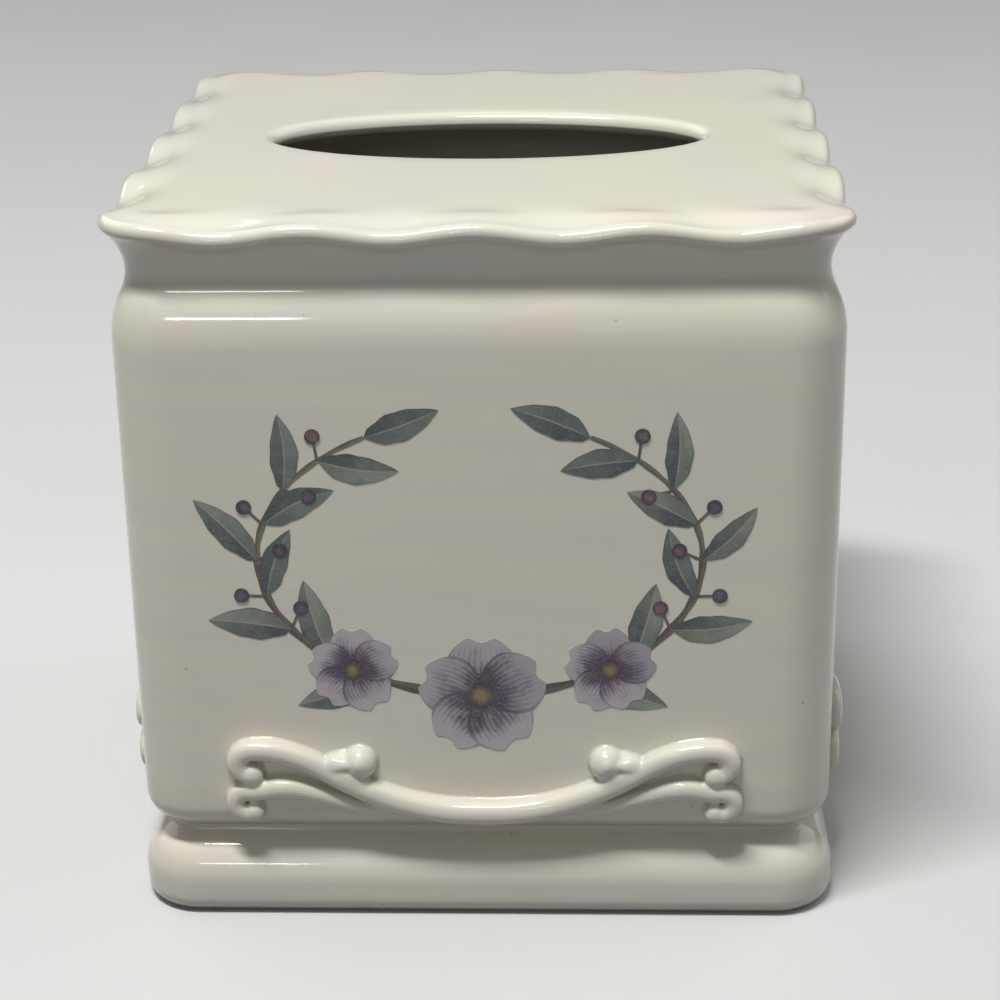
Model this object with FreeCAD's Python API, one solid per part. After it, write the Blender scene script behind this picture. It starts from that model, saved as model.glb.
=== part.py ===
import FreeCAD, Part
import math
import os
from FreeCAD import Vector

# Tissue box cover in glazed earthenware, in millimetres.
# It stands on z = 0 with the Z axis up its middle, and its front wall faces -Y.

# Plan of the body and the tissue slot
body_side = 140.0  # across two opposite flat walls
corner_radius = 11.0  # upright corners of the body
wall = 4.5  # thickness of the casting, the same all the way up
slot_length = 90.0  # tissue slot, along X
slot_width = 38.8  # tissue slot, along Y
slot_rounding = 2.1  # soft edge of the slot, above and below

# Plinth, and the groove between it and the body
plinth_proud = 1.0  # plinth face beyond the body wall
plinth_height = 16.5
plinth_rounding = 6.5
foot_rounding = 2.5
groove_gap = 2.0  # plinth top up to the lowest line of the body
groove_radius = 1.5

# Body, shoulder and cove
body_rounding = 6.0  # under the body wall, above the groove
wall_height = 102.7  # lowest line of the body up to the start of the shoulder
shoulder_height = 13.8  # from there up to the narrowest line of the cove
shoulder_swell = 0.68  # share of the shoulder's S-curve that swells, before it turns hollow
cove_depth = 3.4  # narrowest line of the cove, in from the body wall
flare_radius = 9.1  # cove above its narrowest line
flare_depth = 0.9  # where the flare meets the lip, in from the body wall

# Flat top and its ruffled lip
roof = 4.5  # thickness of the flat top
top_rise = 10.8  # narrowest line of the cove up to the flat top
lip_proud = 0.65  # lip beyond the body wall
lip_nose = 1.2  # radius of the rounded edge of the lip
lip_rise = 8.2  # narrowest line of the cove up to the middle of the lip's edge
ruffle_height = 1.9  # valley to hill
ruffle_sway = 0.7  # how much further out a hill is than a valley
ruffles_per_side = 4
corner_hill = 4.0  # length each side of a corner that stays at hill height
ruffle_reach = 12.0  # how far in over the top the ruffles fade out

# Relief scrolls: lines on the wall are (distance from the middle, height), drawn for the right half
scroll_half_width = 1.95  # half the width of the main stroke
scroll_relief = 3.9  # how far the main stroke stands out of the wall
curl_half_width = 1.45  # the same at its curled ends
curl_relief = 3.3
scroll_root = 2.0  # how deep a stroke is drawn into the wall before the wall is cut from it
main_line = [(0, 24.4), (8, 24.8), (14, 26.0), (20.8, 28.3), (28, 31.8), (35, 35.8), (40, 37.6), (44, 38.2)]
main_curl = dict(centre=(46.4, 35.4), radius=2.75, start=95, end=-80)
main_bead = dict(centre=(46.3, 32.8), radius=1.9, relief=3.5)
frond_line = [(16.5, 25.2), (22.6, 24.7), (26.6, 25.9), (30, 27.2), (36, 29.2), (41, 29.8), (46, 29.0)]
frond_curl = dict(centre=(47.6, 26.5), radius=2.4, start=65, end=-110)
frond_bead = dict(centre=(46.2, 24.4), radius=1.65, relief=3.0)
frond_half_width = 1.6
frond_relief = 3.4
frond_curl_half_width = 1.2
frond_curl_relief = 2.8
frond_tip_half_width = 0.5
frond_tip_relief = 1.2
neck_line = [(31.5, 33.8), (29.6, 34.9), (27.2, 35.5)]
neck_half_width = 2.1
neck_relief = 3.6
ball = dict(centre=(24.7, 35.6), radius=3.9, relief=4.2)

# Printed transfers: a leafy wreath with berries, open at the top, with blossoms at its foot
film = 0.2
wreath_level = 79.0  # middle of the wreath above the floor
wreath_half_width = 43.0
wreath_half_height = 29.0
stem_width = 1.6
stem_start = 14.0  # angle from straight down to where a stem leaves the blossoms
stem_end = 150.0  # angle from straight down to its tip
leaf_length = 17.0
leaf_width = 7.0
leaf_lean = 42.0  # angle between a leaf and its stem
leaves_per_stem = 9
berry_radius = 1.5
berry_stalk = 5.0  # from the stem out to the middle of a berry
berry_stalk_width = 0.6
berry_lean = 65.0  # angle between a berry's stalk and its stem
blossom_radius = 13.0
side_blossom_radius = 9.5
side_blossom_angle = 36.0  # angle from straight down to a side blossom
petals = 5
petal_share = 0.52  # radius of a petal, as a share of its blossom

# Places that follow from the sizes above
half = body_side / 2
core = half - corner_radius
body_base = plinth_height + groove_gap
shoulder_start = body_base + wall_height
cove_level = shoulder_start + shoulder_height
top_level = cove_level + top_rise
roof_under = top_level - roof
lip_level = cove_level + lip_rise
lip_top = lip_level + lip_nose


def polar(centre, radius, angle):
    turn = math.radians(angle)
    return centre[0] + radius * math.cos(turn), centre[1] + radius * math.sin(turn)


def bearing(start, end):
    return math.degrees(math.atan2(end[1] - start[1], end[0] - start[0]))


def section_point(place):
    return Vector(half + place[0], -core, place[1])


# An arc of the wall's section, between two angles in degrees
def section_arc(centre, radius, start, end):
    angles = (start, (start + end) / 2, end)
    return Part.Arc(*[section_point(polar(centre, radius, angle)) for angle in angles])


# Two convex arcs and the hollow groove that touches both: the groove's centre
def groove_centre(below, below_radius, above, above_radius):
    span = math.dist(below, above)
    reach = below_radius + groove_radius
    along = (reach**2 - (above_radius + groove_radius) ** 2 + span**2) / (2 * span)
    aside = math.sqrt(reach**2 - along**2)
    rise = math.radians(bearing(below, above))
    return (
        below[0] + along * math.cos(rise) + aside * math.sin(rise),
        below[1] + along * math.sin(rise) - aside * math.cos(rise),
    )


# Arcs of the wall from the plinth up to the cove, at a depth below the outer face
def wall_arcs(depth):
    plinth = (plinth_proud - plinth_rounding, plinth_height - plinth_rounding)
    body = (-body_rounding, body_base + body_rounding)
    groove = groove_centre(plinth, plinth_rounding, body, body_rounding)
    ogee = (cove_depth**2 + shoulder_height**2) / (2 * cove_depth)
    shoulder_radius = ogee * shoulder_swell
    cove_radius = ogee - shoulder_radius
    shoulder = (-shoulder_radius, shoulder_start)
    cove = (cove_radius - cove_depth, cove_level)
    dip = bearing(plinth, groove)
    rise = bearing(body, groove)
    sway = bearing(shoulder, cove)
    return [
        section_arc(plinth, plinth_rounding - depth, 0, dip),
        section_arc(groove, groove_radius + depth, dip + 180, rise + 180),
        section_arc(body, body_rounding - depth, rise, 0),
        section_arc(shoulder, shoulder_radius - depth, 0, sway),
        section_arc(cove, cove_radius + depth, sway + 180, 180),
    ]


# A closed line through arcs and loose points, with straight runs between them
def closed_wire(pieces):
    edges = []
    ends = [(p, p) if isinstance(p, Vector) else (p.StartPoint, p.EndPoint) for p in pieces]
    for index, piece in enumerate(pieces):
        if not isinstance(piece, Vector):
            edges.append(piece.toShape())
        leave = ends[index][1]
        reach = ends[(index + 1) % len(pieces)][0]
        if leave.distanceToPoint(reach) > 1e-6:
            edges.append(Part.makeLine(leave, reach))
    return Part.Wire(Part.__sortEdges__(edges))


def wall_section():
    foot = section_arc((plinth_proud - foot_rounding, foot_rounding), foot_rounding, -90, 0)
    flare = (flare_radius - cove_depth, cove_level)
    flare_end = 180 - math.degrees(math.acos((flare[0] + flare_depth) / flare_radius))
    outside = [foot] + wall_arcs(0) + [section_arc(flare, flare_radius, 180, flare_end)]
    buried = section_point((-flare_depth, lip_level))
    inner_top = section_point((-cove_depth - wall, lip_level))
    inside = [Part.Arc(a.EndPoint, a.value((a.FirstParameter + a.LastParameter) / 2), a.StartPoint)
              for a in reversed(wall_arcs(wall))]
    inner_foot = section_point((plinth_proud - wall, 0))
    return closed_wire(outside + [buried, inner_top] + inside + [inner_foot])


# Four straight walls and four upright corners, all of one section
def wall_ring():
    section = Part.Face(wall_section())
    straight = section.extrude(Vector(0, 2 * core, 0))
    corner = section.copy()
    corner.translate(Vector(0, 2 * core, 0))
    corner = corner.revolve(Vector(core, core, 0), Vector(0, 0, 1), 90)
    runs = []
    for quarter in range(4):
        for run in (straight, corner):
            turned = run.copy()
            turned.rotate(Vector(0, 0, 0), Vector(0, 0, 1), 90 * quarter)
            runs.append(turned)
    return runs[0].multiFuse(runs[1:]).removeSplitter()


# Height of the ruffle, from -1 in a valley to 1 on a hill, at a share of the way from mid-side to corner
def ruffle(share, reach):
    waves = ruffles_per_side / 2
    phase = min(waves, waves * share * reach / (reach - corner_hill))
    return math.cos(2 * math.pi * phase)


# One quarter of a closed line round the lip, from the middle of the front to the middle of the right side
def lip_quarter(side, radius, level, amount):
    straight = side - radius
    reach = straight + radius * math.pi / 4
    steps = 8 * ruffles_per_side
    points = []
    for step in range(2 * steps + 1):
        along = reach * step / steps
        share = min(along, 2 * reach - along) / reach
        wave = amount * ruffle(share, reach) / 2
        bend = min(max(along - straight, 0) / radius, math.pi / 2)
        run_in = min(along, straight)
        run_out = max(along - 2 * reach + straight, 0)
        out = radius + wave * ruffle_sway
        x = run_in + out * math.sin(bend)
        y = run_out - straight - out * math.cos(bend)
        points.append(Vector(x, y, level + wave * ruffle_height))
    curve = Part.BSplineCurve()
    parameters = [step / (2 * steps) for step in range(2 * steps + 1)]
    pace = 2 * reach
    curve.interpolate(
        Points=points,
        Parameters=parameters,
        InitialTangent=Vector(pace, 0, 0),
        FinalTangent=Vector(0, pace, 0),
    )
    return curve.toShape()


def lip_ring(side, radius, level, amount):
    quarter = lip_quarter(side, radius, level, amount)
    edges = []
    for turn in range(4):
        edge = quarter.copy()
        edge.rotate(Vector(0, 0, 0), Vector(0, 0, 1), 90 * turn)
        edges.append(edge)
    return Part.Wire(edges)


# The flat top: its edge is the lip, which rolls over a rounded nose and ruffles up and down
def roof_slab():
    seat = (flare_depth + cove_depth + wall) / 2
    rings = [lip_ring(half - seat, corner_radius - seat, roof_under, 0)]
    nose = lip_proud - lip_nose
    for angle in (-90, 0, 90):
        out, level = polar((nose, lip_level), lip_nose, angle)
        rings.append(lip_ring(half + out, corner_radius + out, level, 1))
    for share in (0.3, 0.65, 1.0):
        fade = (1 + math.cos(math.pi * share)) / 2
        level = lip_top + (top_level - lip_top) * (1 - fade)
        rings.append(lip_ring(half + nose - ruffle_reach * share, corner_radius + nose, level, fade))
    return Part.makeLoft(rings, True, False)


# The two rims of the tissue slot are the only edges of the shell that close on themselves
def slot_edges(shape):
    return [edge for edge in shape.Edges if edge.isClosed()]


def cover_shell():
    shell = wall_ring().fuse(roof_slab())
    oval = Part.Ellipse(Vector(0, 0, 0), slot_length / 2, slot_width / 2).toShape()
    cutter = Part.Face(Part.Wire(oval)).extrude(Vector(0, 0, top_level))
    cutter.translate(Vector(0, 0, cove_level))
    shell = shell.cut(cutter).removeSplitter()
    return shell.makeFillet(slot_rounding, slot_edges(shell))


def wall_place(place, out):
    return Vector(place[0], -half - out, place[1])


# Section of a relief stroke: straight flanks out of the wall and a round crest
def stroke_section(place, heading, half_width, relief):
    aside = (-math.sin(heading) * half_width, math.cos(heading) * half_width)
    left = (place[0] + aside[0], place[1] + aside[1])
    right = (place[0] - aside[0], place[1] - aside[1])
    flank = relief - half_width
    corners = [wall_place(left, -scroll_root), wall_place(left, flank)]
    corners += [wall_place(right, flank), wall_place(right, -scroll_root)]
    crest = Part.Arc(corners[1], wall_place(place, relief), corners[2])
    return Part.Wire(
        [
            Part.makeLine(corners[0], corners[1]),
            crest.toShape(),
            Part.makeLine(corners[2], corners[3]),
            Part.makeLine(corners[3], corners[0]),
        ]
    )


# A relief stroke along a line on the wall. Its sizes are (share of its length, half-width, relief).
def stroke(line, sizes, stations):
    path = Part.BSplineCurve()
    path.interpolate(Points=[Vector(x, 0, z) for x, z in line])
    sections = []
    for station in range(stations + 1):
        share = station / stations
        parameter = path.FirstParameter + share * (path.LastParameter - path.FirstParameter)
        place = path.value(parameter)
        ahead = path.tangent(parameter)[0]
        before = [size for size in sizes if size[0] <= share][-1]
        after = [size for size in sizes if size[0] >= share][0]
        grown = (share - before[0]) / max(after[0] - before[0], 1e-9)
        half_width = before[1] + (after[1] - before[1]) * grown
        relief = before[2] + (after[2] - before[2]) * grown
        sections.append(stroke_section((place.x, place.z), math.atan2(ahead.z, ahead.x), half_width, relief))
    return Part.makeLoft(sections, True, False)


def curl_points(curl):
    steps = 4
    turn = (curl["end"] - curl["start"]) / steps
    return [polar(curl["centre"], curl["radius"], curl["start"] + turn * step) for step in range(steps + 1)]


# A round boss on the wall, with a domed end
def bead(spec):
    dome = spec["relief"] - spec["radius"]
    base = wall_place(spec["centre"], -scroll_root)
    post = Part.makeCylinder(spec["radius"], dome + scroll_root, base, Vector(0, -1, 0))
    return post.fuse(Part.makeSphere(spec["radius"], wall_place(spec["centre"], dome)))


def mirrored(shape):
    return shape.mirror(Vector(0, 0, 0), Vector(1, 0, 0))


def main_stroke():
    right = main_line + curl_points(main_curl)
    left = [(-x, z) for x, z in reversed(right[1:])]
    ends = (curl_half_width, curl_relief)
    sizes = [(0, *ends), (0.5, scroll_half_width, scroll_relief), (1, *ends)]
    return stroke(left + right, sizes, 44)


def frond_stroke():
    sizes = [
        (0, frond_tip_half_width, frond_tip_relief),
        (0.6, frond_half_width, frond_relief),
        (1, frond_curl_half_width, frond_curl_relief),
    ]
    return stroke(frond_line + curl_points(frond_curl), sizes, 24)


# The whole scroll of one wall, less what the wall itself fills
def front_scroll(shell):
    neck = stroke(neck_line, [(0, curl_half_width, curl_relief), (1, neck_half_width, neck_relief)], 4)
    scroll = main_stroke()
    for piece in (frond_stroke(), neck, bead(main_bead), bead(frond_bead), bead(ball)):
        scroll = scroll.fuse(piece).fuse(mirrored(piece))
    return scroll.cut(shell).removeSplitter()


def wreath_place(angle, side):
    turn = math.radians(angle)
    return (
        side * wreath_half_width * math.sin(turn),
        wreath_level - wreath_half_height * math.cos(turn),
    )


def wreath_heading(angle, side):
    turn = math.radians(angle)
    return math.atan2(wreath_half_height * math.sin(turn), side * wreath_half_width * math.cos(turn))


def disc(centre, radius):
    circle = Part.Circle(wall_place(centre, 0), Vector(0, -1, 0), radius)
    return Part.Face(Part.Wire(circle.toShape()))


# A pointed leaf between two arcs, from its base along a heading
def leaf_face(base, heading):
    tip = (base[0] + leaf_length * math.cos(heading), base[1] + leaf_length * math.sin(heading))
    middle = ((base[0] + tip[0]) / 2, (base[1] + tip[1]) / 2)
    aside = (-math.sin(heading) * leaf_width / 2, math.cos(heading) * leaf_width / 2)
    edges = []
    for sign in (1, -1):
        belly = (middle[0] + sign * aside[0], middle[1] + sign * aside[1])
        edges.append(Part.Arc(wall_place(base, 0), wall_place(belly, 0), wall_place(tip, 0)).toShape())
    return Part.Face(Part.Wire(edges))


def stem_face(side):
    steps = 12
    angles = [stem_start + (stem_end - stem_start) * step / steps for step in range(steps + 1)]
    rails = []
    for offset in (stem_width / 2, -stem_width / 2):
        points = []
        for angle in angles:
            place = wreath_place(angle, side)
            heading = wreath_heading(angle, side)
            shifted = (place[0] - math.sin(heading) * offset, place[1] + math.cos(heading) * offset)
            points.append(wall_place(shifted, 0))
        rail = Part.BSplineCurve()
        rail.interpolate(Points=points)
        rails.append(rail)
    ends = [Part.makeLine(rails[0].StartPoint, rails[1].StartPoint)]
    ends.append(Part.makeLine(rails[0].EndPoint, rails[1].EndPoint))
    edges = [rail.toShape() for rail in rails] + ends
    return Part.Face(Part.Wire(Part.__sortEdges__(edges)))


# A berry on its stalk, from the stem along a heading
def berry_faces(base, heading):
    ahead = (math.cos(heading), math.sin(heading))
    centre = (base[0] + berry_stalk * ahead[0], base[1] + berry_stalk * ahead[1])
    aside = (-ahead[1] * berry_stalk_width / 2, ahead[0] * berry_stalk_width / 2)
    corners = []
    for place, sign in ((base, 1), (centre, 1), (centre, -1), (base, -1)):
        corners.append(wall_place((place[0] + sign * aside[0], place[1] + sign * aside[1]), 0))
    stalk = Part.Face(Part.makePolygon(corners + corners[:1]))
    return [stalk, disc(centre, berry_radius)]


# Leaves lean out and in by turns, with a berry opposite each, and the last leaf ends the stem
def stem_sprays(side):
    faces = []
    for index in range(leaves_per_stem):
        angle = stem_start + (stem_end - stem_start) * (index + 1) / leaves_per_stem
        base = wreath_place(angle, side)
        heading = wreath_heading(angle, side)
        if index == leaves_per_stem - 1:
            faces.append(leaf_face(base, heading))
        else:
            turn = side * (1 if index % 2 else -1)
            faces.append(leaf_face(base, heading + turn * math.radians(leaf_lean)))
            faces += berry_faces(base, heading - turn * math.radians(berry_lean))
    return faces


def blossom_faces(centre, radius):
    petal = radius * petal_share
    faces = [disc(centre, petal)]
    for index in range(petals):
        faces.append(disc(polar(centre, radius - petal, 90 + 360 * index / petals), petal))
    return faces


def front_transfer():
    faces = blossom_faces(wreath_place(0, 1), blossom_radius)
    for side in (1, -1):
        faces += blossom_faces(wreath_place(side_blossom_angle, side), side_blossom_radius)
        faces.append(stem_face(side))
        faces += stem_sprays(side)
    films = [face.extrude(Vector(0, -film, 0)) for face in faces]
    return films[0].multiFuse(films[1:]).removeSplitter()


def turned(shape, angle):
    copy = shape.copy()
    copy.rotate(Vector(0, 0, 0), Vector(0, 0, 1), angle)
    return copy


os.makedirs("parts", exist_ok=True)
shell = cover_shell()
scroll = front_scroll(shell)
transfer = front_transfer()
shell.exportStep("parts/cover_shell.step")
for name, angle in (("front", 0), ("right", 90), ("back", 180), ("left", 270)):
    turned(scroll, angle).exportStep("parts/" + name + "_scroll.step")
    turned(transfer, angle).exportStep("parts/" + name + "_transfer.step")

for name, shape in (("shell", shell), ("scroll", scroll), ("transfer", transfer)):
    box = shape.optimalBoundingBox(True, False)
    print(name, "solids", len(shape.Solids), "valid", shape.isValid(), "volume", round(shape.Volume, 1))
    print("  width", round(box.XLength, 2), "depth", round(box.YLength, 2), "height", round(box.ZLength, 2))
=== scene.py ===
import bpy
import bmesh
import math
import random
from mathutils import Matrix, Vector


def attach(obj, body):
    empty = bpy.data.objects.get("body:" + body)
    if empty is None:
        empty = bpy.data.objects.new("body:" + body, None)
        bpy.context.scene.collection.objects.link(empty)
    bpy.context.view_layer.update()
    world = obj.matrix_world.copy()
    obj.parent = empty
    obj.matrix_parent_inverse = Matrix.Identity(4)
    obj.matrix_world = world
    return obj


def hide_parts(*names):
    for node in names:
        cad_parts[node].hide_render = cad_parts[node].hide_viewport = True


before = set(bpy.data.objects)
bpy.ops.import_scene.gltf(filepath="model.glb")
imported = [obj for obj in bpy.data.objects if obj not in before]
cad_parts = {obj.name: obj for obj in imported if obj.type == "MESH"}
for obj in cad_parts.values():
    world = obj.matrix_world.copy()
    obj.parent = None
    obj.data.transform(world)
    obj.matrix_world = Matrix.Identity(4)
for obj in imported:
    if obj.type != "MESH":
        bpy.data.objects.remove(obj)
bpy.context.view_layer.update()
print("frame loaded:", len(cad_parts), "CAD nodes")

mm = 0.001
wallTurns = {"front": 0, "right": 90, "back": 180, "left": 270}


# small helpers
def dropSelection():
    if bpy.context.object and bpy.context.object.mode != "OBJECT":
        bpy.ops.object.mode_set(mode="OBJECT")
    bpy.ops.object.select_all(action="DESELECT")


def pick(piece):
    dropSelection()
    piece.select_set(True)
    bpy.context.view_layer.objects.active = piece


def openEdit(piece):
    pick(piece)
    bpy.ops.object.mode_set(mode="EDIT")
    bpy.ops.mesh.select_all(action="SELECT")


def closeEdit():
    bpy.ops.object.mode_set(mode="OBJECT")


def selectEdges(piece, wanted):
    bpy.ops.mesh.select_all(action="DESELECT")
    mesh = bmesh.from_edit_mesh(piece.data)
    for edge in mesh.edges:
        if wanted(edge):
            edge.select_set(True)
    bmesh.update_edit_mesh(piece.data)


# extrudes what is selected and puts each new vertex where place() says
def extrudeTo(piece, place):
    bpy.ops.mesh.extrude_region_move()
    mesh = bmesh.from_edit_mesh(piece.data)
    for vertex in mesh.verts:
        if vertex.select:
            vertex.co = place(vertex.co)
    bmesh.update_edit_mesh(piece.data)


def applyModifier(piece, kind, **settings):
    pick(piece)
    step = piece.modifiers.new(kind.lower(), kind)
    for key, value in settings.items():
        setattr(step, key, value)
    bpy.ops.object.modifier_apply(modifier=step.name)


def addObject(name, data):
    made = bpy.data.objects.new(name, data)
    bpy.context.scene.collection.objects.link(made)
    return made


def joinPieces(pieces, name):
    pick(pieces[0])
    for piece in pieces[1:]:
        piece.select_set(True)
    bpy.ops.object.join()
    pieces[0].name = name
    return pieces[0]


# the front wall's piece, and a copy of it turned on to each of the other walls
def onEachWall(piece, ending):
    pieces = {"front": piece}
    for wallName, turn in wallTurns.items():
        if turn:
            pieces[wallName] = addObject(wallName + ending, piece.data.copy())
            pieces[wallName].data.transform(Matrix.Rotation(math.radians(turn), 4, "Z"))
    return pieces


def wear(piece, *looks):
    piece.data.materials.clear()
    for look in looks:
        piece.data.materials.append(look)


def stepFrom(place, heading, reach):
    turn = math.radians(heading)
    return place[0] + reach * math.cos(turn), place[1] + reach * math.sin(turn)


def arcRun(centre, radius, start, end, steps):
    return [stepFrom(centre, start + (end - start) * step / steps, radius) for step in range(steps + 1)]


# the points between two ends, without the ends
def lineRun(start, end, steps):
    return [
        (start[0] + (end[0] - start[0]) * step / steps, start[1] + (end[1] - start[1]) * step / steps)
        for step in range(1, steps)
    ]


def bearing(start, end):
    return math.degrees(math.atan2(end[1] - start[1], end[0] - start[0]))


def smoothStep(low, high, value):
    share = min(max((value - low) / (high - low), 0), 1)
    return share * share * (3 - 2 * share)


# the photograph's camera: place and lens in mm, angles in degrees, nearest distance in metres
cameraView = {
    "place": (21.6, -494.2, 262.6),
    "yaw": -2.35,
    "pitch": 21.96,
    "roll": -0.91,
    "lens": 86.4,
    "nearest": 0.01,
}


def makeCamera():
    yaw = math.radians(cameraView["yaw"])
    pitch = math.radians(cameraView["pitch"])
    roll = math.radians(cameraView["roll"])
    ahead = Vector((math.sin(yaw) * math.cos(pitch), math.cos(yaw) * math.cos(pitch), -math.sin(pitch)))
    level = Vector((math.cos(yaw), -math.sin(yaw), 0))
    rise = level.cross(ahead)
    right = math.cos(roll) * level + math.sin(roll) * rise
    up = -math.sin(roll) * level + math.cos(roll) * rise
    eye = addObject("eye", bpy.data.cameras.new("eye"))
    eye.data.lens = cameraView["lens"]
    eye.data.clip_start = cameraView["nearest"]
    turn = Matrix((right, up, -ahead)).transposed().to_4x4()
    eye.matrix_world = Matrix.Translation(Vector(cameraView["place"]) * mm) @ turn
    bpy.context.scene.camera = eye


makeCamera()
print("camera placed")

# glazed casting: lengths in mm, and the number of steps that each run is drawn in
shellSizes = {
    "bodySide": 140.0,
    "cornerRadius": 11.0,
    "wall": 4.5,
    "plinthProud": 1.0,
    "plinthHeight": 16.5,
    "plinthRounding": 9.0,
    "footRounding": 3.6,
    "footEase": 0.6,
    "grooveGap": 2.0,
    "grooveRadius": 1.5,
    "bodyRounding": 6.0,
    "wallHeight": 102.7,
    "shoulderHeight": 13.8,
    "shoulderSwell": 0.68,
    "coveDepth": 3.4,
    "roof": 4.5,
    "roofEase": 0.9,
    "topRise": 10.8,
    "lipProud": 0.65,
    "lipNose": 1.7,
    "lipRise": 8.2,
    "droopReach": 6.0,
    "ruffleHeight": 1.7,
    "backRuffle": 0.9,
    "backDroop": 0.5,
    "ruffleSway": 0.7,
    "rufflesPerSide": 4,
    "cornerHill": 4.0,
    "ruffleReach": 11.0,
    "slotLength": 90.0,
    "slotWidth": 38.8,
    "slotRounding": 2.1,
    "slotUndercut": 3.0,
    "topSpacing": 1.3,
    "seam": 0.001,
    "mirrorMerge": 0.01,
    "weld": 0.005,
    "cornerSteps": 14,
    "sideSteps": 26,
    "droopSteps": 8,
    "noseSteps": 13,
    "flareSteps": 12,
    "coveSteps": 6,
    "shoulderSteps": 9,
    "wallSteps": 14,
    "turnSteps": 8,
    "plinthSteps": 3,
    "footSteps": 6,
    "footEaseSteps": 4,
    "roofEaseSteps": 5,
    "topSteps": 14,
    "rimSteps": 6,
    "underSteps": 4,
}
half = shellSizes["bodySide"] / 2
core = half - shellSizes["cornerRadius"]
bodyBase = shellSizes["plinthHeight"] + shellSizes["grooveGap"]
shoulderStart = bodyBase + shellSizes["wallHeight"]
coveLevel = shoulderStart + shellSizes["shoulderHeight"]
topLevel = coveLevel + shellSizes["topRise"]
roofUnder = topLevel - shellSizes["roof"]
lipLevel = coveLevel + shellSizes["lipRise"]
lipTop = lipLevel + shellSizes["lipNose"]
noseMiddle = shellSizes["lipProud"] - shellSizes["lipNose"]
noseSpan = noseMiddle + shellSizes["coveDepth"]
noseReach = noseSpan + shellSizes["lipNose"]
# the flare of the cove runs smoothly into the lip's nose
flareRadius = (noseSpan**2 + shellSizes["lipRise"] ** 2 - shellSizes["lipNose"] ** 2) / (2 * noseReach)
# where wall and top meet
ringInset = shellSizes["coveDepth"] + shellSizes["wall"] + shellSizes["roofEase"]


# runs of the wall's section from the plinth up to the cove, at a depth under the outer face
def wallRuns(depth):
    s = shellSizes
    plinth = (s["plinthProud"] - s["plinthRounding"], s["plinthHeight"] - s["plinthRounding"])
    body = (-s["bodyRounding"], bodyBase + s["bodyRounding"])
    span = math.dist(plinth, body)
    reach = s["plinthRounding"] + s["grooveRadius"]
    along = (reach**2 - (s["bodyRounding"] + s["grooveRadius"]) ** 2 + span**2) / (2 * span)
    aside = math.sqrt(reach**2 - along**2)
    tilt = math.radians(bearing(plinth, body))
    groove = (
        plinth[0] + along * math.cos(tilt) + aside * math.sin(tilt),
        plinth[1] + along * math.sin(tilt) - aside * math.cos(tilt),
    )
    ogee = (s["coveDepth"] ** 2 + s["shoulderHeight"] ** 2) / (2 * s["coveDepth"])
    swell = ogee * s["shoulderSwell"]
    hollow = ogee - swell
    shoulder = (-swell, shoulderStart)
    cove = (hollow - s["coveDepth"], coveLevel)
    dip = bearing(plinth, groove)
    rise = bearing(body, groove)
    sway = bearing(shoulder, cove)
    plinthRun = arcRun(plinth, s["plinthRounding"] - depth, 0, dip, s["turnSteps"])
    grooveRun = arcRun(groove, s["grooveRadius"] + depth, dip + 180, rise + 180, s["turnSteps"])
    bodyRun = arcRun(body, s["bodyRounding"] - depth, rise, 0, s["turnSteps"])
    wallRun = lineRun((-depth, body[1]), (-depth, shoulderStart), s["wallSteps"])
    shoulderRun = arcRun(shoulder, swell - depth, 0, sway, s["shoulderSteps"])
    coveRun = arcRun(cove, hollow + depth, sway + 180, 180, s["coveSteps"])
    return plinthRun + grooveRun[1:] + bodyRun[1:] + wallRun + shoulderRun + coveRun[1:]


# share of the lip's droop or ruffle that is left at a distance out of the wall
def lipFade(out, reach):
    inward = min(max((noseMiddle - out) / reach, 0), 1)
    return (1 + math.cos(math.pi * inward)) / 2


def topHeight(out):
    return topLevel - (topLevel - lipTop) * lipFade(out, shellSizes["droopReach"])


# one line from the flat top over the lip, down the outside, under the foot and up the inside
def shellProfile():
    s = shellSizes
    profile = []
    for step in range(s["droopSteps"]):
        out = -ringInset + (noseMiddle + ringInset) * step / s["droopSteps"]
        profile.append((out, topHeight(out)))
    nose = (noseMiddle, lipLevel)
    flare = (flareRadius - s["coveDepth"], coveLevel)
    lean = bearing(flare, nose)
    profile += arcRun(nose, s["lipNose"], 90, lean - 180, s["noseSteps"])
    profile += arcRun(flare, flareRadius, lean, 180, s["flareSteps"])[1:-1]
    profile += list(reversed(wallRuns(0)))
    foot = s["plinthProud"] - s["footRounding"]
    profile += lineRun(profile[-1], (s["plinthProud"], s["footRounding"]), s["plinthSteps"])
    profile += arcRun((foot, s["footRounding"]), s["footRounding"], 0, -90, s["footSteps"])
    ease = s["footEase"]
    innerFoot = s["plinthProud"] - s["wall"]
    profile += arcRun((innerFoot + ease, ease), ease, -90, -180, s["footEaseSteps"])
    inner = wallRuns(s["wall"])
    profile += lineRun(profile[-1], inner[0], s["plinthSteps"]) + inner
    roofEase = s["roofEase"]
    roofCorner = (inner[-1][0] - roofEase, roofUnder - roofEase)
    profile += arcRun(roofCorner, roofEase, 0, 90, s["roofEaseSteps"])
    return profile


# rounded-square ring: how far a point is along its side, how far out of the wall, and its ring's reach
def ringPlace(x, y):
    across, deep = abs(x), abs(y)
    if across <= core or deep <= core:
        along = min(across, deep)
        radius = max(across, deep) - core
    else:
        radius = math.hypot(across - core, deep - core)
        along = core + radius * math.atan2(min(across, deep) - core, max(across, deep) - core)
    return along, radius - shellSizes["cornerRadius"], core + radius * math.pi / 4


def outward(x, y):
    if abs(x) > core and abs(y) > core:
        return Vector((x - math.copysign(core, x), y - math.copysign(core, y), 0)).normalized()
    if abs(x) > abs(y):
        return Vector((math.copysign(1, x), 0, 0))
    return Vector((0, math.copysign(1, y), 0))


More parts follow.
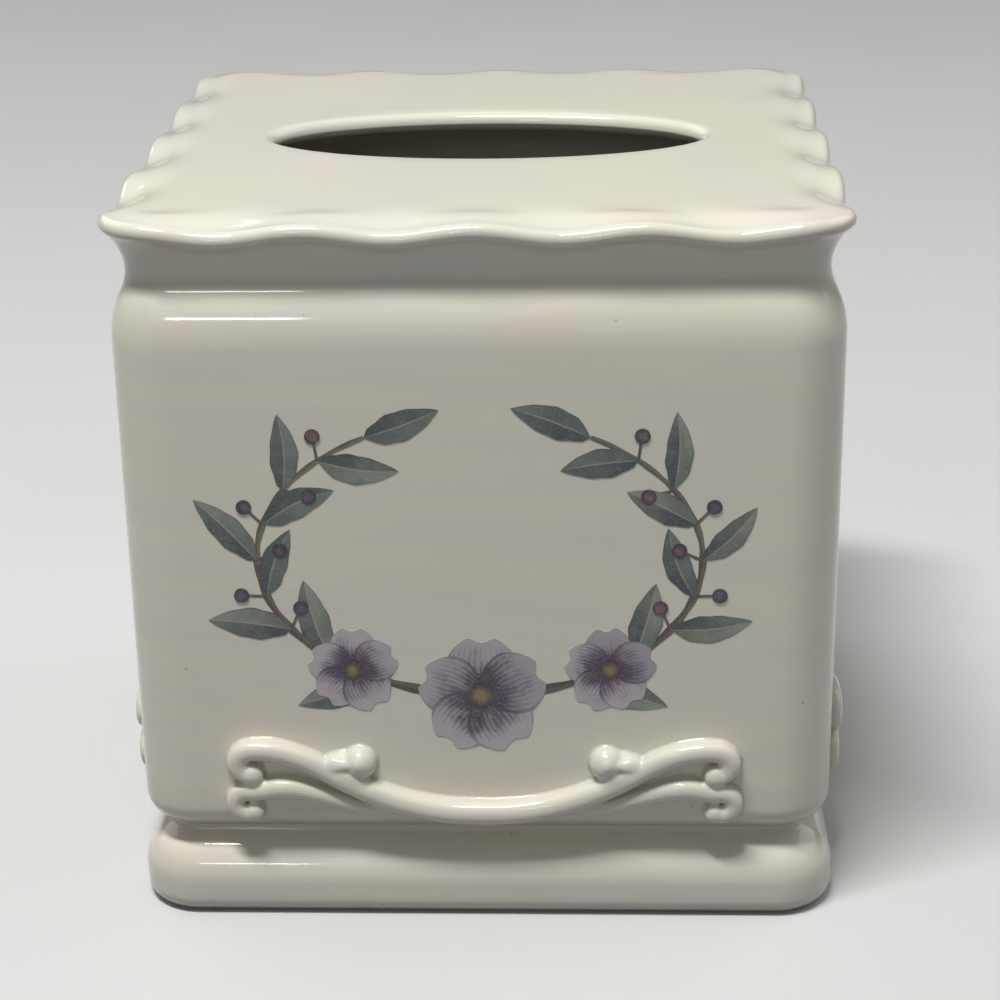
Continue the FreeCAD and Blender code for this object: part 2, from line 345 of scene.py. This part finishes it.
# the ruffle carries the lip up and out on its hills, down and in between them; it is lower at the back
def ruffleShift(x, y, z):
    s = shellSizes
    along, out, reach = ringPlace(x, y)
    if z > lipLevel:
        weight = lipFade(out, s["ruffleReach"])
    elif out < -s["coveDepth"] - 1:
        weight = 0
    else:
        weight = smoothStep(coveLevel, lipLevel - s["lipNose"], z)
    waves = s["rufflesPerSide"] / 2
    phase = min(waves, waves * along / (reach - s["cornerHill"]))
    wave = weight * math.cos(2 * math.pi * phase) / 2
    back = min(max(y / half + 1, 0) / 2, 1)
    height = s["ruffleHeight"] + (s["backRuffle"] - s["ruffleHeight"]) * back
    rise = wave * height - weight * s["backDroop"] * back
    return outward(x, y) * wave * s["ruffleSway"] + Vector((0, 0, rise))


def makeShell():
    s = shellSizes
    profile = shellProfile()
    dropSelection()
    bpy.ops.mesh.primitive_plane_add(size=mm)
    shell = bpy.context.object
    shell.name = "glazedShell"
    openEdit(shell)
    bpy.ops.mesh.merge(type="CENTER")
    bpy.ops.transform.translate(value=(core * mm, -(half + profile[0][0]) * mm, profile[0][1] * mm))
    for before, after in zip(profile, profile[1:]):
        step = (0, (before[0] - after[0]) * mm, (after[1] - before[1]) * mm)
        bpy.ops.mesh.extrude_region_move(TRANSFORM_OT_translate={"value": step})
    bpy.ops.mesh.select_all(action="SELECT")
    hinge = (core * mm, -core * mm, 0)
    bpy.ops.mesh.spin(steps=s["cornerSteps"], angle=-math.pi / 2, center=hinge, axis=(0, 0, 1))
    stride = core * mm / s["sideSteps"]
    seam = s["seam"] * mm

    # the spun corner's two ends run on to the middle of their walls
    def onSide(edge):
        return all(abs(v.co.y + core * mm) < seam and v.co.x > core * mm for v in edge.verts)

    def onFront(edge):
        return all(abs(v.co.x - core * mm) < seam and v.co.y < -core * mm for v in edge.verts)

    for end, step in ((onSide, (0, stride, 0)), (onFront, (-stride, 0, 0))):
        selectEdges(shell, end)
        for _ in range(s["sideSteps"]):
            bpy.ops.mesh.extrude_region_move(TRANSFORM_OT_translate={"value": step})
    closeEdit()
    merge = s["mirrorMerge"] * mm
    applyModifier(shell, "MIRROR", use_axis=(True, True, False), use_mirror_merge=True, merge_threshold=merge)
    closeTop(shell)
    for vertex in shell.data.vertices:
        x, y, z = vertex.co / mm
        vertex.co += ruffleShift(x, y, z) * mm
    pick(shell)
    bpy.ops.object.shade_smooth()
    return shell


# the top runs in from the wall's open loop to an oval and over its soft rim, and the roof's underside
# runs in to meet it
def closeTop(shell):
    s = shellSizes
    rounding = s["slotRounding"]

    def ovalPlace(place, grow, level, share):
        angle = math.atan2(place.y, place.x)
        across = s["slotLength"] / 2 + grow
        deep = s["slotWidth"] / 2 + grow
        rim = 1 / math.hypot(math.cos(angle) / across, math.sin(angle) / deep)
        edge = (half - ringInset) / max(abs(math.cos(angle)), abs(math.sin(angle)))
        reach = (edge + (rim - edge) * share) / math.hypot(place.x, place.y)
        x, y = place.x * reach, place.y * reach
        if level is None:
            level = topHeight(ringPlace(x, y)[1])
        return Vector((x, y, level)) * mm

    def topLoop(edge):
        return edge.is_boundary and all(lipLevel * mm < v.co.z < (topLevel + 1) * mm for v in edge.verts)

    def roofLoop(edge):
        return edge.is_boundary and all(v.co.x**2 + v.co.y**2 > (core * mm) ** 2 for v in edge.verts)

    openEdit(shell)
    selectEdges(shell, topLoop)
    for step in range(1, s["topSteps"] + 1):
        share = (step / s["topSteps"]) ** s["topSpacing"]
        extrudeTo(shell, lambda place: ovalPlace(place, rounding, None, share))
    for step in range(1, s["rimSteps"] + 1):
        turn = math.radians(90 * step / s["rimSteps"])
        grow = rounding * (1 - math.sin(turn))
        level = topLevel - rounding * (1 - math.cos(turn))
        extrudeTo(shell, lambda place: ovalPlace(place, grow, level, 1))
    for step in range(s["rimSteps"] + 1):
        turn = math.radians(90 * step / s["rimSteps"])
        grow = rounding * (1 - math.cos(turn)) + s["slotUndercut"] * math.sin(turn / 2)
        level = roofUnder + rounding * (1 - math.sin(turn))
        extrudeTo(shell, lambda place: ovalPlace(place, grow, level, 1))
    underGrow = rounding + s["slotUndercut"] * math.sin(math.pi / 4)
    selectEdges(shell, roofLoop)
    for step in range(1, s["underSteps"] + 1):
        extrudeTo(shell, lambda place: ovalPlace(place, underGrow, roofUnder, step / s["underSteps"]))
    bpy.ops.mesh.select_all(action="SELECT")
    bpy.ops.mesh.remove_doubles(threshold=s["weld"] * mm)
    bpy.ops.mesh.normals_make_consistent(inside=False)
    closeEdit()


shell = makeShell()
print("shell:", len(shell.data.polygons), "faces")


# materials: every node is made by one call, with its sockets linked or set
def addNode(tree, kind, sockets=None, **settings):
    node = tree.nodes.new("ShaderNode" + kind)
    for key, value in settings.items():
        setattr(node, key, value)
    for key, value in (sockets or {}).items():
        if isinstance(value, bpy.types.NodeSocket):
            tree.links.new(value, node.inputs[key])
        else:
            node.inputs[key].default_value = value
    return node


def startLook(name):
    look = bpy.data.materials.new(name)
    look.use_nodes = True
    return look, look.node_tree, look.node_tree.nodes["Principled BSDF"]


def grain(tree, coords, scale, stretch=(1, 1, 1), detail=3, roughness=0.5):
    mapped = addNode(tree, "Mapping", {"Vector": coords, "Scale": stretch})
    sockets = {"Vector": mapped.outputs["Vector"], "Scale": scale, "Detail": detail, "Roughness": roughness}
    return addNode(tree, "TexNoise", sockets).outputs["Fac"]


def blend(tree, share, first, second):
    mixed = addNode(tree, "Mix", data_type="RGBA", blend_type="MIX")
    for socket, value in ((mixed.inputs[0], share), (mixed.inputs[6], first), (mixed.inputs[7], second)):
        if isinstance(value, bpy.types.NodeSocket):
            tree.links.new(value, socket)
        else:
            socket.default_value = (*value, 1) if isinstance(value, tuple) else value
    return mixed.outputs[2]


def spread(tree, value, low, high, first=0.0, second=1.0):
    sockets = {0: value, 1: low, 2: high, 3: first, 4: second}
    return addNode(tree, "MapRange", sockets, interpolation_type="SMOOTHSTEP").outputs[0]


def sums(tree, kind, first, second):
    return addNode(tree, "Math", {0: first, 1: second}, operation=kind).outputs[0]


def joinLook(tree, surface, colour, roughness, height, lift):
    tree.links.new(colour, surface.inputs["Base Color"])
    tree.links.new(roughness, surface.inputs["Roughness"])
    bump = addNode(tree, "Bump", {"Height": height, "Strength": 0.5, "Distance": lift})
    tree.links.new(bump.outputs["Normal"], surface.inputs["Normal"])


# gloss glaze over earthenware: lengths in metres, colours linear
bodyGlaze = {
    "ivory": (0.725, 0.695, 0.570),
    "cool": (0.690, 0.665, 0.585),
    "peach": (0.735, 0.668, 0.560),
    # pooled glaze colour, also used as painted shade in the groove and where the relief meets the wall
    "poolAndShade": (0.520, 0.470, 0.385),
    "speck": (0.230, 0.180, 0.130),
    "streakStretch": (16, 16, 150),
    "driftScale": 26,
    "driftStretch": (1, 1, 2.2),
    "mottleScale": 420,
    "peachShare": 0.6,
    "grooveShadeShare": 0.75,
    "reliefFootShadeShare": 0.5,
    "speckScale": 190.0,
    "speckReach": (0.03, 0.075),
    "speckChoice": 0.9,
    "speckShare": 0.45,
    "lustre": (0.54, 0.62),
    "lift": 0.00006,
    "fixed": {"IOR": 1.52, "Specular IOR Level": 0.4, "Coat Weight": 1.0, "Coat Roughness": 0.05},
    "groove": (0.0155, 0.0200),
    "crestRise": None,
}
reliefGlaze = dict(bodyGlaze, groove=None, crestRise=0.9)


def glazeLook(name, s):
    look, tree, surface = startLook(name)
    coords = addNode(tree, "TexCoord").outputs["Object"]
    height = addNode(tree, "SeparateXYZ", {"Vector": coords}).outputs["Z"]
    streaks = grain(tree, coords, 1.0, s["streakStretch"], 5, 0.6)
    drifts = grain(tree, coords, s["driftScale"], s["driftStretch"], 2)
    mottle = grain(tree, coords, s["mottleScale"], detail=2)
    colour = blend(tree, spread(tree, streaks, 0.36, 0.66), s["ivory"], s["cool"])
    warmth = sums(tree, "MULTIPLY", spread(tree, drifts, 0.5, 0.74), s["peachShare"])
    colour = blend(tree, warmth, colour, s["peach"])

    # thick glaze in the hollows is warmer and darker; this darkening of the groove is also painted shade
    if s["groove"]:
        low, high = s["groove"]
        middle = (low + high) / 2
        off = sums(tree, "ABSOLUTE", sums(tree, "SUBTRACT", height, middle), 0)
        poolAndShade = sums(tree, "MULTIPLY", spread(tree, off, 0.0, high - middle, 1, 0), s["grooveShadeShare"])
        colour = blend(tree, poolAndShade, colour, s["poolAndShade"])
    # painted shade and pooled glaze at the relief's foot, darkest where it meets the wall
    if s["crestRise"]:
        crest = addNode(tree, "Attribute", attribute_name="crest").outputs["Fac"]
        poolAndShade = sums(tree, "MULTIPLY", spread(tree, crest, 0.0, s["crestRise"], 1, 0), s["reliefFootShadeShare"])
        colour = blend(tree, poolAndShade, colour, s["poolAndShade"])

    # a few iron specks and pinholes
    cells = addNode(tree, "TexVoronoi", {"Vector": coords, "Scale": s["speckScale"]})
    chosen = addNode(tree, "SeparateColor", {"Color": cells.outputs["Color"]}).outputs[0]
    near = spread(tree, cells.outputs["Distance"], *s["speckReach"], 1, 0)
    specks = sums(tree, "MULTIPLY", near, sums(tree, "GREATER_THAN", chosen, s["speckChoice"]))
    colour = blend(tree, sums(tree, "MULTIPLY", specks, s["speckShare"]), colour, s["speck"])

    # pearl lustre below, clear gloss above
    rough = spread(tree, drifts, 0.3, 0.7, *s["lustre"])
    relief = sums(tree, "ADD", sums(tree, "MULTIPLY", mottle, 0.25), streaks)
    relief = sums(tree, "SUBTRACT", relief, sums(tree, "MULTIPLY", specks, 0.8))
    joinLook(tree, surface, colour, rough, relief, s["lift"])
    for socket, value in s["fixed"].items():
        surface.inputs[socket].default_value = value
    return look


# the ring that the cover stands on is wiped dry before firing: colours linear, line in mm, lift in metres
footClay = {
    "clay": (0.740, 0.690, 0.610),
    "stain": (0.600, 0.530, 0.440),
    "cloudScale": 240,
    "gritScale": 2200,
    "dryness": (0.75, 0.92),
    "lift": 0.00008,
    "line": 1.1,
}


def clayLook():
    s = footClay
    look, tree, surface = startLook("dryFoot")
    coords = addNode(tree, "TexCoord").outputs["Object"]
    clouds = grain(tree, coords, s["cloudScale"])
    grit = grain(tree, coords, s["gritScale"], detail=2)
    colour = blend(tree, spread(tree, clouds, 0.35, 0.75), s["clay"], s["stain"])
    joinLook(tree, surface, colour, spread(tree, grit, 0.3, 0.7, *s["dryness"]), grit, s["lift"])
    return look


# fired print: two inks washed into each other, with a dark outline and a pale middle line where it has one
inks = {
    "leaf": {
        "deep": (0.045, 0.058, 0.066),
        "wash": (0.270, 0.300, 0.235),
        "other": (0.140, 0.175, 0.160),
        "rib": 0.05,
    },
    "petal": {
        "deep": (0.065, 0.038, 0.088),
        "wash": (0.500, 0.440, 0.475),
        "other": (0.330, 0.280, 0.340),
        "rib": 0,
    },
    "heart": {
        "deep": (0.050, 0.030, 0.030),
        "wash": (0.270, 0.180, 0.090),
        "other": (0.150, 0.090, 0.060),
        "rib": 0,
    },
    "berry": {
        "deep": (0.030, 0.018, 0.045),
        "wash": (0.110, 0.070, 0.130),
        "other": (0.180, 0.090, 0.090),
        "rib": 0,
    },
    "stem": {
        "deep": (0.070, 0.045, 0.035),
        "wash": (0.240, 0.165, 0.110),
        "other": (0.160, 0.150, 0.110),
        "rib": 0,
    },
}
ribPale = (0.42, 0.40, 0.33)
dotPale = (0.62, 0.59, 0.52)
inkLift = 0.00003


def inkLook(name):
    s = inks[name]
    look, tree, surface = startLook(name + "Ink")
    coords = addNode(tree, "TexCoord").outputs["Object"]
    sheet = addNode(tree, "UVMap").outputs["UV"]
    chart = addNode(tree, "SeparateXYZ", {"Vector": sheet})
    along, across = chart.outputs["X"], chart.outputs["Y"]
    tone = addNode(tree, "Attribute", attribute_name="tone").outputs["Fac"]
    wash = grain(tree, coords, 170, detail=4, roughness=0.65)
    dots = grain(tree, coords, 2600, detail=1)
    side = sums(tree, "ABSOLUTE", sums(tree, "SUBTRACT", across, 0.5), 0)
    colour = blend(tree, spread(tree, tone, 0.25, 0.95), s["wash"], s["other"])
    if name in ("heart", "berry"):
        depth = sums(tree, "ADD", wash, sums(tree, "MULTIPLY", across, 0.5))
        colour = blend(tree, spread(tree, depth, 0.55, 1.0), colour, s["deep"])
    elif name == "petal":
        bands = {"Vector": sheet, "Scale": 4.0, "Distortion": 3.0}
        veins = addNode(tree, "TexWave", bands, bands_direction="Y").outputs["Fac"]
        depth = sums(tree, "ADD", sums(tree, "MULTIPLY", along, -1.15), sums(tree, "MULTIPLY", wash, 1.3))
        depth = sums(tree, "ADD", depth, sums(tree, "MULTIPLY", veins, 0.18))
        colour = blend(tree, spread(tree, depth, -0.25, 0.55), colour, s["deep"])
    else:
        depth = sums(tree, "ADD", sums(tree, "MULTIPLY", wash, 1.1), sums(tree, "MULTIPLY", along, -0.5))
        halfDark = spread(tree, across, 0.46, 0.54, 0.0, 0.5)
        shade = sums(tree, "ADD", halfDark, spread(tree, depth, 0.0, 0.6, 0.0, 0.6))
        colour = blend(tree, shade, colour, s["deep"])
    if s["rib"]:
        rib = sums(tree, "MULTIPLY", spread(tree, side, 0.0, s["rib"], 1, 0), 0.6)
        colour = blend(tree, rib, colour, ribPale)
    edge = sums(tree, "MULTIPLY", spread(tree, side, 0.43, 0.5), 0.55)
    colour = blend(tree, edge, colour, s["deep"])
    gaps = sums(tree, "MULTIPLY", spread(tree, dots, 0.55, 0.72), 0.14)
    colour = blend(tree, gaps, colour, dotPale)
    rough = spread(tree, wash, 0.3, 0.7, 0.1, 0.2)
    joinLook(tree, surface, colour, rough, wash, inkLift)
    surface.inputs["Coat Weight"].default_value = 0.2
    surface.inputs["Coat Roughness"].default_value = 0.05
    return look


leafInk, petalInk, heartInk, berryInk, stemInk = [inkLook(name) for name in inks]
print("inks made")

# relief scroll: the CAD's strokes under a skin of glaze that fills their foot, in mm
# each knob is how far aside, how high, its radius, and how far its middle stands out of the wall
reliefSkin = {
    "fuller": 0.55,
    "fullerFrom": (3.4, 6.5),
    "ball": (24.7, 35.6),
    "ballSize": 0.7,
    "ballEdge": (4.0, 5.2),
    "knobs": ((24.6, 35.2, 3.5, 0.5), (28.2, 35.2, 2.4, 0.3)),
    "knobSegments": 40,
    "knobRings": 24,
    "skirt": 1.5,
    "standing": 0.05,
    "under": 0.06,
    "sink": 1.2,
    "weld": 0.002,
    "voxel": 0.34,
    "soften": 8,
}


# how far out the body wall is at a height: it turns under just above the groove
def wallFace(z):
    drop = min(max(bodyBase + shellSizes["bodyRounding"] - z, 0), shellSizes["bodyRounding"])
    return math.sqrt(shellSizes["bodyRounding"] ** 2 - drop**2) - shellSizes["bodyRounding"]


def mergedCopy(node, name):
    copy = addObject(name, bpy.data.objects[node].data.copy())
    copy.data.materials.clear()
    openEdit(copy)
    bpy.ops.mesh.remove_doubles(threshold=reliefSkin["weld"] * mm)
    bpy.ops.mesh.normals_make_consistent(inside=False)
    closeEdit()
    return copy


def makeRelief():
    s = reliefSkin
    relief = mergedCopy("front_scroll", "frontRelief")
    skirt = mergedCopy("front_scroll", "skirt")
    normals = [vertex.normal.copy() for vertex in skirt.data.vertices]
    for vertex, normal in zip(relief.data.vertices, normals):
        x, y, z = vertex.co / mm
        reach = math.dist((abs(x), z), s["ball"])
        grow = s["fuller"] * smoothStep(*s["fullerFrom"], reach)
        shrink = (s["ballSize"] - 1) * (1 - smoothStep(*s["ballEdge"], reach))
        aside = Vector((x - math.copysign(s["ball"][0], x), 0, z - s["ball"][1])) * shrink
        vertex.co += (Vector((normal.x, 0, normal.z)) * grow + aside) * mm
    for vertex, normal in zip(skirt.data.vertices, normals):
        x, y, z = vertex.co / mm
        stands = -half - y - wallFace(z) > s["standing"]
        aside = Vector((normal.x, 0, normal.z)) * s["skirt"]
        level = wallFace(z + aside.z) - s["under"] - (0 if stands else s["sink"])
        vertex.co = Vector((x + aside.x, -half - level, z + aside.z)) * mm

    # a round knob on each side, and a smaller one that fills its neck
    joined = [relief, skirt]
    for out, level, radius, rise in s["knobs"]:
        for side in (1, -1):
            dropSelection()
            bpy.ops.mesh.primitive_uv_sphere_add(
                segments=s["knobSegments"],
                ring_count=s["knobRings"],
                radius=radius * mm,
                location=Vector((side * out, -half - rise, level)) * mm,
            )
            bpy.ops.object.transform_apply()
            joined.append(bpy.context.object)
    joinPieces(joined, "frontRelief")
    applyModifier(relief, "REMESH", mode="VOXEL", voxel_size=s["voxel"] * mm)
    applyModifier(relief, "SMOOTH", factor=0.5, iterations=s["soften"])
    bpy.ops.object.shade_smooth()
    # how far each point stands out of the wall; the glaze paints shade at the relief's foot from this
    crest = relief.data.attributes.new("crest", "FLOAT", "POINT")
    for vertex in relief.data.vertices:
        x, y, z = vertex.co / mm
        crest.data[vertex.index].value = max(-half - y - wallFace(z), 0)
    return relief


reliefs = onEachWall(makeRelief(), "Relief")
print("relief:", len(reliefs["front"].data.polygons), "faces on each wall")

# printed wreath on each wall, in mm and degrees; hearts and stamens are shares of their blossom's radius
# each lift is how far a shape's face stands out of the wall, so that those above cover those below
printSizes = {
    "level": 79.0,
    "halfWidth": 43.0,
    "halfHeight": 29.0,
    "stemWidth": 1.6,
    "stemStart": 14,
    "stemEnd": 150,
    "stemLift": 0.06,
    "leafLength": 17.0,
    "leafWidth": 7.0,
    "leafLean": 42,
    "leafBends": (-1.0, -0.4, 0.5, 1.1),
    "leavesPerStem": 9,
    "leafLift": 0.075,
    "leafStep": 0.004,
    "firstBerry": 2,
    "berryRadius": 1.5,
    "berryStalk": 5.0,
    "berryLift": 0.115,
    "stalkWidth": 0.6,
    "stalkLift": 0.07,
    "berryLean": 65,
    "blossomRadius": 13.0,
    "sideBlossomRadius": 9.5,
    "sideBlossomAngle": 36,
    "petals": 5,
    "petalLift": 0.11,
    "petalStep": 0.008,
    "heart": 0.2,
    "heartLift": 0.17,
    "stamens": 11,
    "stamen": 0.032,
    "film": 0.12,
}
chance = random.Random(11)


# a flat printed shape: a grid whose points shape() moves, each from its place along and across
def makeFlat(name, look, along, across, shape):
    dropSelection()
    bpy.ops.mesh.primitive_grid_add(x_subdivisions=along, y_subdivisions=across, size=1)
    flat = bpy.context.object
    flat.name = name
    for vertex in flat.data.vertices:
        x, y = shape(vertex.co.x + 0.5, 2 * vertex.co.y)
        vertex.co = Vector((x, y, 0)) * mm
    applyModifier(flat, "SOLIDIFY", thickness=printSizes["film"] * mm, offset=-1)
    wear(flat, look)
    return flat


def leafShape(bend):
    def shape(along, across):
        width = printSizes["leafWidth"] / 2 * math.sin(math.pi * along**0.85) ** 0.85
        frill = 0.25 * math.sin(along * 22) * abs(across) * (1 - along)
        return along * printSizes["leafLength"], across * width + bend * math.sin(math.pi * along) + frill

    return shape


# length 1 mm from the blossom's heart to the tip, which is notched
def petalShape(along, across):
    notch = 0.1 * along**4 * max(1 - (across / 0.45) ** 2, 0)
    width = 0.5 * math.sin(math.pi * (0.06 + 0.7 * along)) ** 0.8
    return along * (1 - 0.17 * abs(across) ** 3) - notch, across * width


def discShape(along, across):
    return stepFrom((0, 0), 360 * along, (across + 1) / 2)


def stalkShape(along, across):
    return along, across * printSizes["stalkWidth"] / 2


def wreathPlace(angle, side):
    turn = math.radians(angle)
    x = side * printSizes["halfWidth"] * math.sin(turn)
    return x, printSizes["level"] - printSizes["halfHeight"] * math.cos(turn)


def wreathHeading(angle, side):
    turn = math.radians(angle)
    rise = printSizes["halfHeight"] * math.sin(turn)
    return math.degrees(math.atan2(rise, side * printSizes["halfWidth"] * math.cos(turn)))


def stemShape(side):
    def shape(along, across):
        angle = printSizes["stemStart"] + (printSizes["stemEnd"] - printSizes["stemStart"]) * along
        width = printSizes["stemWidth"] / 2 * (1.15 - 0.6 * along) * (1 + 0.18 * math.sin(along * 60))
        return stepFrom(wreathPlace(angle, side), wreathHeading(angle, side) + 90, across * width)

    return shape


def wreathParts():
    s = printSizes
    leaves = [makeFlat("leaf", leafInk, 14, 8, leafShape(bend)) for bend in s["leafBends"]]
    petal = makeFlat("petal", petalInk, 12, 12, petalShape)
    heart = makeFlat("heart", heartInk, 24, 5, discShape)
    berry = makeFlat("berry", berryInk, 20, 4, discShape)
    stalk = makeFlat("stalk", stemInk, 4, 1, stalkShape)
    placed = []

    # one printed copy on the front wall, with its own tone
    def lay(flat, place, heading, scale, lift):
        copy = addObject(flat.name, flat.data.copy())
        stand = Matrix.Translation(Vector((place[0], -half - lift, place[1])) * mm)
        stand = stand @ Matrix.Rotation(math.pi / 2, 4, "X")
        size = Matrix.Diagonal((scale[0], scale[1], 1, 1))
        copy.data.transform(stand @ Matrix.Rotation(math.radians(heading), 4, "Z") @ size)
        tone = copy.data.attributes.new("tone", "FLOAT", "POINT")
        shade = chance.random()
        for value in tone.data:
            value.value = shade
        placed.append(copy)

    def layBlossom(centre, radius):
        for index in range(s["petals"]):
            heading = 90 + 360 * index / s["petals"] + chance.uniform(-5, 5)
            size = radius * chance.uniform(0.94, 1.0)
            width = size * chance.uniform(1.0, 1.1)
            lay(petal, centre, heading, (size, width), s["petalLift"] + s["petalStep"] * index)
        heartSize = radius * s["heart"]
        lay(heart, centre, 0, (heartSize, heartSize), s["heartLift"])
        dotSize = radius * s["stamen"]
        for index in range(s["stamens"]):
            angle = 360 * index / s["stamens"] + chance.uniform(-9, 9)
            dot = stepFrom(centre, angle, radius * chance.uniform(0.27, 0.36))
            lay(heart, dot, 0, (dotSize, dotSize), s["heartLift"])

    layBlossom(wreathPlace(0, 1), s["blossomRadius"])
    for side in (1, -1):
        layBlossom(wreathPlace(s["sideBlossomAngle"], side), s["sideBlossomRadius"])
        stem = makeFlat("stem", stemInk, 80, 2, stemShape(side))
        lay(stem, (0, 0), 0, (1, 1), s["stemLift"])
        bpy.data.objects.remove(stem)
        for index in range(s["leavesPerStem"]):
            angle = s["stemStart"] + (s["stemEnd"] - s["stemStart"]) * (index + 1) / s["leavesPerStem"]
            place, heading = wreathPlace(angle, side), wreathHeading(angle, side)
            turn = side * (1 if index % 2 else -1)
            lean = turn * s["leafLean"] if index < s["leavesPerStem"] - 1 else 0
            size = chance.uniform(0.86, 1.02)
            leaf = leaves[chance.randrange(len(leaves))]
            width = size * chance.uniform(0.8, 1)
            lay(leaf, place, heading + lean, (size, width), s["leafLift"] + s["leafStep"] * index)

            # the leaf at the stem's tip has no berry, nor have those that lie by the blossoms
            if lean and index >= s["firstBerry"]:
                away = heading - turn * s["berryLean"]
                lay(stalk, place, away, (s["berryStalk"], 1), s["stalkLift"])
                fruit = stepFrom(place, away, s["berryStalk"])
                lay(berry, fruit, away, (s["berryRadius"], s["berryRadius"]), s["berryLift"])
    for flat in leaves + [petal, heart, berry, stalk]:
        bpy.data.objects.remove(flat)
    return placed


prints = onEachWall(joinPieces(wreathParts(), "frontPrint"), "Print")
print("prints:", len(prints["front"].data.polygons), "faces on each wall")

wear(shell, glazeLook("ivoryGlaze", bodyGlaze), clayLook())
for face in shell.data.polygons:
    if max(shell.data.vertices[index].co.z for index in face.vertices) < footClay["line"] * mm:
        face.material_index = 1
reliefLook = glazeLook("reliefGlaze", reliefGlaze)
for relief in reliefs.values():
    wear(relief, reliefLook)

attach(shell, "root")
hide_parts("cover_shell")
for wallName in wallTurns:
    for piece, node, slot in (
        (reliefs[wallName], wallName + "_scroll", "relief_glaze"),
        (prints[wallName], wallName + "_transfer", "fired_print"),
    ):
        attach(piece, "root")
        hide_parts(node)
print("pieces dressed")

dropSelection()
bpy.ops.mesh.primitive_plane_add(size=6)
floor = bpy.context.object
floor.name = "floor"

# the floor is pale where it is seen, and gives little light back to the cover
floorTones = {"seen": ((0.62, 0.62, 0.61), (0.66, 0.66, 0.65)), "given": (0.14, 0.14, 0.15), "grain": 9}


def floorLook():
    s = floorTones
    look, tree, surface = startLook("paleFloor")
    path = addNode(tree, "LightPath")
    seen = sums(tree, "MAXIMUM", path.outputs["Is Camera Ray"], path.outputs["Is Glossy Ray"])
    seen = sums(tree, "MAXIMUM", seen, path.outputs["Is Transmission Ray"])
    coords = addNode(tree, "TexCoord").outputs["Object"]
    pale = blend(tree, grain(tree, coords, s["grain"]), *s["seen"])
    colour = blend(tree, seen, s["given"], pale)
    tree.links.new(colour, surface.inputs["Base Color"])
    surface.inputs["Roughness"].default_value = 0.9
    surface.inputs["Specular IOR Level"].default_value = 0.1
    return look


wear(floor, floorLook())

# lamps: place and size in metres, power in watts, aim is a height on the cover's axis
white = (1, 1, 1)
daylight = (0.88, 0.93, 1.0)
lamps = {
    "overhead": {"place": (-0.2, -0.4, 1.3), "aim": 0.1, "size": (0.5, 0.12), "power": 16.4, "tint": white},
    "front": {"place": (-0.6, -1.9, 1.0), "aim": 0.1, "size": (1.2, 0.8), "power": 1.5, "tint": white},
    "rightFill": {"place": (1.7, 0.75, 1.3), "aim": 0.08, "size": (2.0, 1.4), "power": 10, "tint": white},
    "leftFill": {"place": (-1.4, 1.3, 1.3), "aim": 0.08, "size": (2.0, 1.4), "power": 10, "tint": white},
    "window": {
        "place": (-0.35, -1.85, 0.72),
        "aim": 0.1,
        "size": (0.18, 0.08),
        "power": 0.8,
        "tint": daylight,
    },
}


def makeLamp(name, s):
    lamp = bpy.data.lights.new(name, "AREA")
    lamp.shape = "RECTANGLE"
    lamp.size, lamp.size_y = s["size"]
    lamp.energy = s["power"]
    lamp.color = s["tint"]
    holder = addObject(name, lamp)
    holder.location = s["place"]
    holder.visible_camera = False
    aim = Vector((0, 0, s["aim"])) - Vector(s["place"])
    holder.rotation_euler = aim.to_track_quat("-Z", "Y").to_euler()


for lampName, lampSettings in lamps.items():
    makeLamp(lampName, lampSettings)
world = bpy.data.worlds.new("studio")
bpy.context.scene.world = world
world.use_nodes = True
sky = world.node_tree.nodes["Background"]
sky.inputs["Color"].default_value = (0.8, 0.8, 0.8, 1)
sky.inputs["Strength"].default_value = 0.23
bpy.context.scene.view_settings.view_transform = "Standard"
print("floor and lamps placed")
